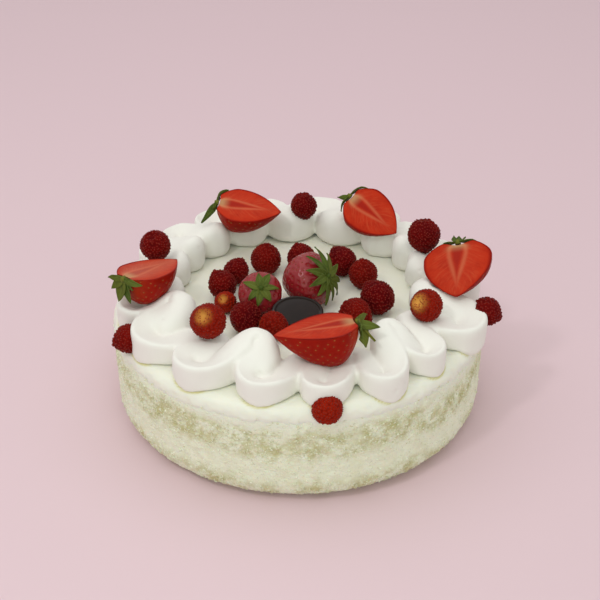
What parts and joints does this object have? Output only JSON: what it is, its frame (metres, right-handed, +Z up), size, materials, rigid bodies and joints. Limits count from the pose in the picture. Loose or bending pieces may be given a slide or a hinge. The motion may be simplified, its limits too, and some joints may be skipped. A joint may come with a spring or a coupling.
{
  "type": "christening cake",
  "caption": "Round coconut-coated celebration cake with a ring of piped cream loops, halved and whole strawberries, wild strawberries and a bare oval chocolate plaque.",
  "frame": {"origin": "middle of the flat base, where the cake stands", "axes": "+Z up, -Y towards the side with the plaque, +X to the right of someone facing it"},
  "size_m": [0.2274, 0.2266, 0.1037],
  "materials": {
    "coconut_coat": "matt, rough with flakes of coconut",
    "whipped_cream": "smooth, soft sheen",
    "strawberry_skin": "moist gloss",
    "wild_strawberry_skin": "satin, dotted with seeds",
    "leaf": "matt green",
    "dark_chocolate": "gloss"
  },
  "bodies": {
    "root": {"coated_sponge": "coconut_coat", "cream_layer": "whipped_cream", "cream_border": "whipped_cream", "half_strawberry_back_left": "strawberry_skin", "calyx_back_left": "leaf", "half_strawberry_back_right": "strawberry_skin", "calyx_back_right": "leaf", "half_strawberry_left": "strawberry_skin", "calyx_left": "leaf", "half_strawberry_right": "strawberry_skin", "calyx_right": "leaf", "half_strawberry_front": "strawberry_skin", "calyx_front": "leaf", "strawberry_large": "strawberry_skin", "calyx_large": "leaf", "strawberry_small": "strawberry_skin", "calyx_small": "leaf", "wild_strawberry_01": "wild_strawberry_skin", "wild_strawberry_02": "wild_strawberry_skin", "wild_strawberry_03": "wild_strawberry_skin", "wild_strawberry_04": "wild_strawberry_skin", "wild_strawberry_05": "wild_strawberry_skin", "wild_strawberry_06": "wild_strawberry_skin", "wild_strawberry_07": "wild_strawberry_skin", "wild_strawberry_08": "wild_strawberry_skin", "wild_strawberry_09": "wild_strawberry_skin", "wild_strawberry_10": "wild_strawberry_skin", "wild_strawberry_11": "wild_strawberry_skin", "wild_strawberry_12": "wild_strawberry_skin", "wild_strawberry_13": "wild_strawberry_skin", "wild_strawberry_14": "wild_strawberry_skin", "wild_strawberry_15": "wild_strawberry_skin", "wild_strawberry_16": "wild_strawberry_skin", "wild_strawberry_17": "wild_strawberry_skin", "wild_strawberry_18": "wild_strawberry_skin", "wild_strawberry_19": "wild_strawberry_skin", "chocolate_plaque": "dark_chocolate"}
  },
  "joints": []
}
